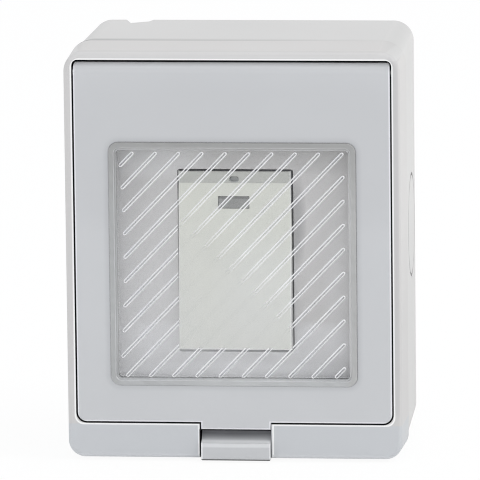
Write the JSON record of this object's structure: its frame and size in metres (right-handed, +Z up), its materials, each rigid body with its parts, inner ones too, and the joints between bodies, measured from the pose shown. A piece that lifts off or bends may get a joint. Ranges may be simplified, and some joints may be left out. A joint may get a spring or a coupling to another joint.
{
  "type": "weatherproof switch",
  "caption": "Surface-mounted weatherproof wall switch: moulded box, framed front, top-hinged lid with a soft clear ribbed membrane, push latch and a wide rocker.",
  "frame": {"origin": "centre of the box's back face, on the wall", "axes": "+X to the right seen from the front, +Y into the wall, +Z up"},
  "size_m": [0.101, 0.067, 0.1242],
  "materials": {
    "box_plastic": "moulded light grey, satin",
    "frame_plastic": "moulded light grey, satin",
    "lid_plastic": "moulded light grey, satin",
    "latch_plastic": "moulded light grey, satin",
    "rocker_plastic": "smooth white",
    "lens_plastic": "smoky translucent",
    "clear_membrane": "soft clear, slightly cloudy",
    "seal_rubber": "matte black",
    "inner_plastic": "moulded white",
    "steel": "zinc plated",
    "spring_steel": "bright wire",
    "brass": "plain",
    "lamp_glass": "small neon tube",
    "resistor_coat": "lacquered"
  },
  "bodies": {
    "housing": {"back_box": "box_plastic", "body_gasket": "seal_rubber", "front_frame": "frame_plastic", "frame_screws": "steel", "hinge_pins": "steel", "latch_pin": "steel", "latch_spring": "spring_steel", "switch_base": "inner_plastic", "base_screws": "steel", "common_terminal": "brass", "load_terminal_low": "brass", "load_terminal_high": "brass", "terminal_screws": "steel", "indicator_lamp": "lamp_glass", "lamp_resistor": "resistor_coat", "earth_terminal": "brass", "earth_screw": "steel"},
    "lid": {"lid": "lid_plastic", "lid_gasket": "seal_rubber", "membrane": "clear_membrane", "membrane_retainer": "lid_plastic"},
    "latch": {"latch": "latch_plastic"},
    "rocker": {"rocker": "rocker_plastic", "indicator_lens": "lens_plastic", "rocker_plunger": "inner_plastic", "plunger_spring": "spring_steel"},
    "contact": {"contact_bridge": "brass"}
  },
  "joints": [
    {"name": "lid_hinge", "type": "hinge", "parent": "housing", "child": "lid", "pos_m": [0, -0.0615, 0.05458], "axis": [-1, 0, 0], "range_deg": [0, 90]},
    {"name": "latch_hinge", "type": "hinge", "parent": "housing", "child": "latch", "pos_m": [0.00035, -0.0605, -0.0595], "axis": [1, 0, 0], "range_deg": [0, 20], "stiffness_Nm_per_rad": 0.02, "springref_deg": -17.19, "deforming": ["latch_spring"]},
    {"name": "rocker_tilt", "type": "hinge", "parent": "housing", "child": "rocker", "pos_m": [0, -0.052, -0.00283], "axis": [1, 0, 0], "range_deg": [0, 7]},
    {"name": "contact_tilt", "type": "hinge", "parent": "housing", "child": "contact", "pos_m": [0, -0.0366, -0.00283], "axis": [1, 0, 0], "range_deg": [-12, 0]}
  ],
  "couplings": [
    {"joint": "contact_tilt", "follows": "rocker_tilt", "ratio": -1.7143}
  ]
}
